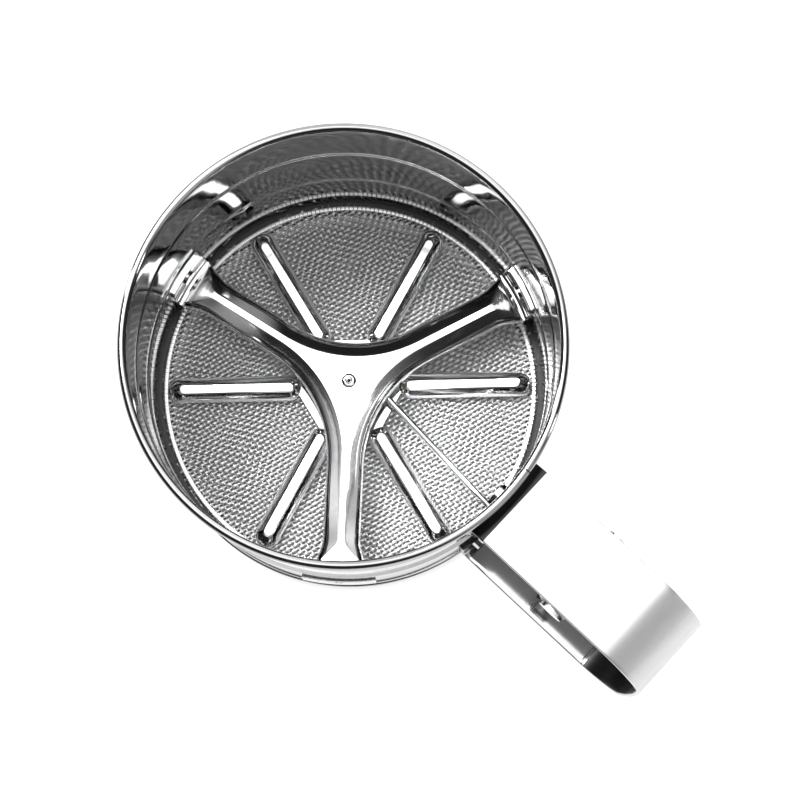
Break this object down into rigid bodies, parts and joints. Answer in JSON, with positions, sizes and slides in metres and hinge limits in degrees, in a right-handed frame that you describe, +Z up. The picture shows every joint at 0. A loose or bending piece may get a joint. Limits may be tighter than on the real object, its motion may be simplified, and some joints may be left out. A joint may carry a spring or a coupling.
{
  "type": "flour sifter",
  "caption": "Hand-held flour sifter: a steel cup with a fine mesh floor, stirred by an agitator that a trigger in the strap handle turns through a rod.",
  "frame": {"origin": "on the cup's axis, in the plane of the base edge that the cup stands on", "axes": "+Z up along the cup's axis, +X from the cup towards the far end of the handle"},
  "size_m": [0.159, 0.105, 0.086],
  "materials": {
    "cup_steel": "mirror polished",
    "ring_steel": "polished",
    "mesh_wire": "bright drawn wire, woven",
    "bridge_steel": "mirror polished",
    "plate_steel": "polished",
    "rivet_steel": "polished",
    "pin_steel": "polished",
    "washer_steel": "satin",
    "spring_steel": "bright spring wire",
    "agitator_steel": "mirror polished",
    "bush_brass": "turned",
    "rod_steel": "drawn wire",
    "eyelet_steel": "polished",
    "handle_steel": "mirror polished",
    "trigger_steel": "polished"
  },
  "bodies": {
    "cup": {"cup_body": "cup_steel", "mesh_support_ring": "ring_steel", "sieve_mesh": "mesh_wire", "mesh_retaining_ring": "ring_steel", "bridge": "bridge_steel", "bridge_backing_plates": "plate_steel", "bridge_rivets": "rivet_steel", "pivot_pin": "pin_steel", "pin_spacer": "pin_steel", "top_washer": "washer_steel", "bottom_washer": "washer_steel", "retaining_clip": "spring_steel", "rod_eyelet": "eyelet_steel", "handle_strap": "handle_steel", "upper_handle_rivet": "rivet_steel", "lower_handle_rivets": "rivet_steel", "trigger_pivot_pin": "pin_steel", "pivot_sleeves": "pin_steel", "return_spring": "spring_steel"},
    "agitator": {"agitator": "agitator_steel", "hub_bush": "bush_brass"},
    "rod": {"drive_rod": "rod_steel", "rod_push_nuts": "spring_steel", "rod_foot_nut": "spring_steel"},
    "trigger": {"trigger_lever": "trigger_steel"}
  },
  "joints": [
    {"name": "trigger_swing", "type": "hinge", "parent": "cup", "child": "trigger", "pos_m": [0.077, 0, 0.0733], "axis": [0, -1, 0], "range_deg": [0, 7.5], "stiffness_Nm_per_rad": 0.6, "springref_deg": -14.32, "deforming": ["return_spring"]},
    {"name": "rod_slide", "type": "slide", "parent": "cup", "child": "rod", "axis": [1, 0, 0], "range_m": [0, 0.007]},
    {"name": "agitator_turn", "type": "hinge", "parent": "cup", "child": "agitator", "pos_m": [0, 0, 0.0152], "axis": [0, 0, 1], "range_deg": [-70, 0]}
  ],
  "couplings": [
    {"joint": "rod_slide", "follows": "trigger_swing", "m_per_rad": 0.0534},
    {"joint": "agitator_turn", "follows": "trigger_swing", "ratio": -9.33}
  ]
}
